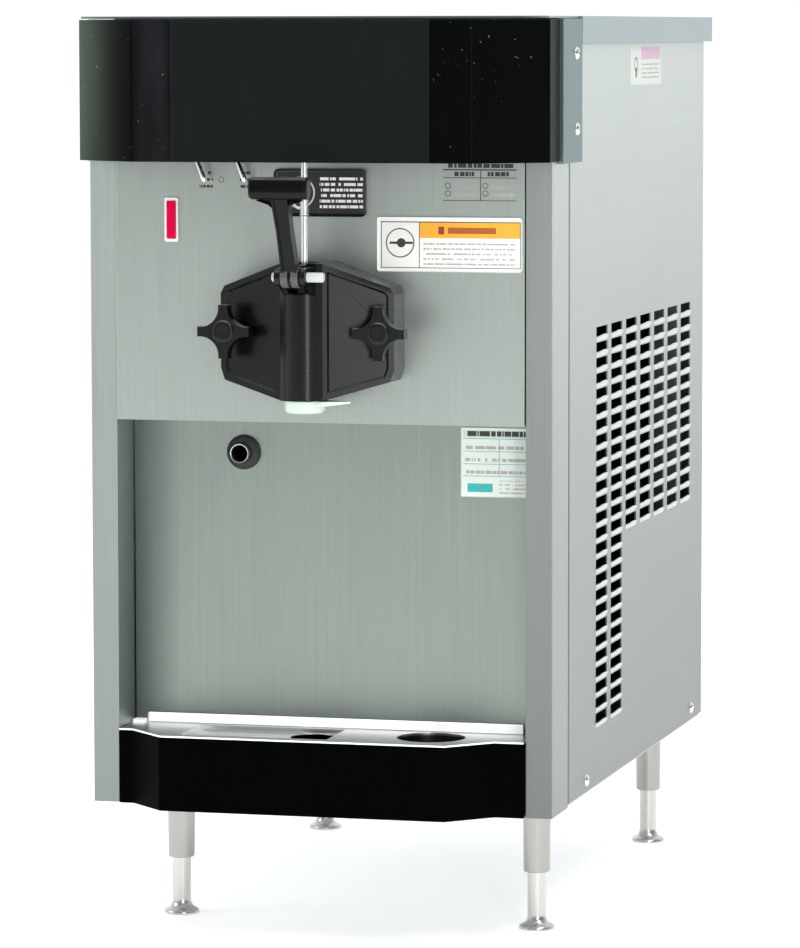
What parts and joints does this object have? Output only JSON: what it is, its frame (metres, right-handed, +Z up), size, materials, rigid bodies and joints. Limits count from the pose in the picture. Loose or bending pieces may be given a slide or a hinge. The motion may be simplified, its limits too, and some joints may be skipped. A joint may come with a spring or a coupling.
{
  "type": "soft serve freezer",
  "caption": "Countertop soft-serve ice cream freezer with a draw lever, dispensing head, drip tray, mix hopper and levelling legs.",
  "frame": {"origin": "on the counter, under the middle of the bounding box", "axes": "+X to the right of someone facing the machine, +Y to its back, +Z up"},
  "size_m": [0.4532, 0.8572, 0.859],
  "materials": {
    "stainless": "vertical brushed stainless sheet",
    "dull_steel": "plain mill-finish steel",
    "cover_steel": "blue-grey satin steel",
    "header_black": "satin black moulding",
    "sign_black": "black sign face",
    "moulded_black": "semi-gloss black moulding",
    "chrome": "bright plated",
    "rubber": "black rubber",
    "lens_red": "translucent red lens",
    "white_plastic": "white food-grade plastic",
    "spout_plastic": "pale green-white plastic",
    "cast": "cast and turned",
    "painted_black": "satin black paint",
    "aluminium": "mill aluminium"
  },
  "bodies": {
    "root": {"base_pan": "dull_steel", "post_left": "stainless", "post_right": "stainless", "side_panel_left": "stainless", "side_panel_right": "stainless", "rear_panel": "stainless", "cord_inlet": "rubber", "top_cover": "cover_steel", "header_cheek_left": "cover_steel", "header_cheek_right": "cover_steel", "header_fascia": "header_black", "sign_plate": "sign_black", "front_panel": "stainless", "recess_panel": "stainless", "inner_frame": "dull_steel", "hopper": "stainless", "mix_feed_tube": "stainless", "freezing_barrel": "dull_steel", "shaft_seal": "rubber", "gear_reducer": "cast", "drive_belt": "rubber", "drive_motor": "painted_black", "compressor": "painted_black", "condenser": "painted_black", "fan_motor": "painted_black", "draw_switch": "moulded_black", "toggle_body_left": "moulded_black", "toggle_body_right": "moulded_black", "indicator_bezel": "white_plastic", "indicator_lens": "lens_red", "dispensing_head": "moulded_black", "head_gasket": "rubber", "stud_left": "stainless", "stud_right": "stainless", "pivot_pin": "white_plastic", "spout_cap": "spout_plastic", "drain_tube": "stainless", "drain_grommet": "rubber", "leg_sleeve_front_left": "stainless", "leg_sleeve_front_right": "stainless", "leg_sleeve_rear_left": "stainless", "leg_sleeve_rear_right": "stainless"},
    "hopper_lid": {"hopper_lid": "stainless"},
    "draw_lever": {"draw_lever": "moulded_black"},
    "valve_plunger": {"valve_plunger": "moulded_black", "switch_rod": "chrome"},
    "knob_left": {"knob_left": "moulded_black"},
    "knob_right": {"knob_right": "moulded_black"},
    "toggle_left": {"toggle_lever_left": "chrome"},
    "toggle_right": {"toggle_lever_right": "chrome"},
    "drip_tray": {"drip_tray": "moulded_black"},
    "tray_insert": {"tray_insert": "stainless"},
    "beater": {"beater": "stainless"},
    "reducer_pulley": {"reducer_pulley": "cast"},
    "motor_pulley": {"motor_pulley": "cast"},
    "fan": {"fan_blades": "aluminium"},
    "foot_front_left": {"foot_front_left": "stainless"},
    "foot_front_right": {"foot_front_right": "stainless"},
    "foot_rear_left": {"foot_rear_left": "stainless"},
    "foot_rear_right": {"foot_rear_right": "stainless"}
  },
  "joints": [
    {"name": "lid_lift", "type": "slide", "parent": "root", "child": "hopper_lid", "axis": [0, 0, 1], "range_m": [0, 0.12]},
    {"name": "draw_lever_pull", "type": "hinge", "parent": "root", "child": "draw_lever", "pos_m": [0, -0.3811, 0.625], "axis": [1, 0, 0], "range_deg": [0, 45]},
    {"name": "plunger_lift", "type": "slide", "parent": "root", "child": "valve_plunger", "axis": [0, 0, 1], "range_m": [0, 0.0285]},
    {"name": "knob_left_turn", "type": "hinge", "parent": "root", "child": "knob_left", "pos_m": [-0.073, -0.3441, 0.573], "axis": [0, -1, 0], "continuous": true},
    {"name": "knob_right_turn", "type": "hinge", "parent": "root", "child": "knob_right", "pos_m": [0.073, -0.3441, 0.573], "axis": [0, -1, 0], "continuous": true},
    {"name": "toggle_left_throw", "type": "hinge", "parent": "root", "child": "toggle_left", "pos_m": [-0.116, -0.3031, 0.737], "axis": [0, 1, 0], "range_deg": [0, 44]},
    {"name": "toggle_right_throw", "type": "hinge", "parent": "root", "child": "toggle_right", "pos_m": [-0.0775, -0.3031, 0.737], "axis": [0, 1, 0], "range_deg": [0, 44]},
    {"name": "tray_pull", "type": "slide", "parent": "root", "child": "drip_tray", "axis": [0, -1, 0], "range_m": [0, 0.18]},
    {"name": "insert_lift", "type": "slide", "parent": "drip_tray", "child": "tray_insert", "axis": [0, 0, 1], "range_m": [0, 0.06]},
    {"name": "beater_spin", "type": "hinge", "parent": "root", "child": "beater", "pos_m": [0, -0.1091, 0.573], "axis": [0, 1, 0], "continuous": true},
    {"name": "reducer_pulley_spin", "type": "hinge", "parent": "root", "child": "reducer_pulley", "pos_m": [0, 0.1669, 0.573], "axis": [0, 1, 0], "continuous": true},
    {"name": "motor_pulley_spin", "type": "hinge", "parent": "root", "child": "motor_pulley", "pos_m": [0, 0.1669, 0.418], "axis": [0, 1, 0], "continuous": true},
    {"name": "fan_spin", "type": "hinge", "parent": "root", "child": "fan", "pos_m": [0.124, 0.1709, 0.3], "axis": [1, 0, 0], "continuous": true},
    {"name": "front_left_foot_adjust", "type": "slide", "parent": "root", "child": "foot_front_left", "axis": [0, 0, -1], "range_m": [0, 0.025]},
    {"name": "front_right_foot_adjust", "type": "slide", "parent": "root", "child": "foot_front_right", "axis": [0, 0, -1], "range_m": [0, 0.025]},
    {"name": "rear_left_foot_adjust", "type": "slide", "parent": "root", "child": "foot_rear_left", "axis": [0, 0, -1], "range_m": [0, 0.025]},
    {"name": "rear_right_foot_adjust", "type": "slide", "parent": "root", "child": "foot_rear_right", "axis": [0, 0, -1], "range_m": [0, 0.025]}
  ],
  "couplings": [
    {"joint": "plunger_lift", "follows": "draw_lever_pull", "m_per_rad": 0.036},
    {"joint": "reducer_pulley_spin", "follows": "beater_spin", "ratio": 3},
    {"joint": "motor_pulley_spin", "follows": "beater_spin", "ratio": 8}
  ]
}
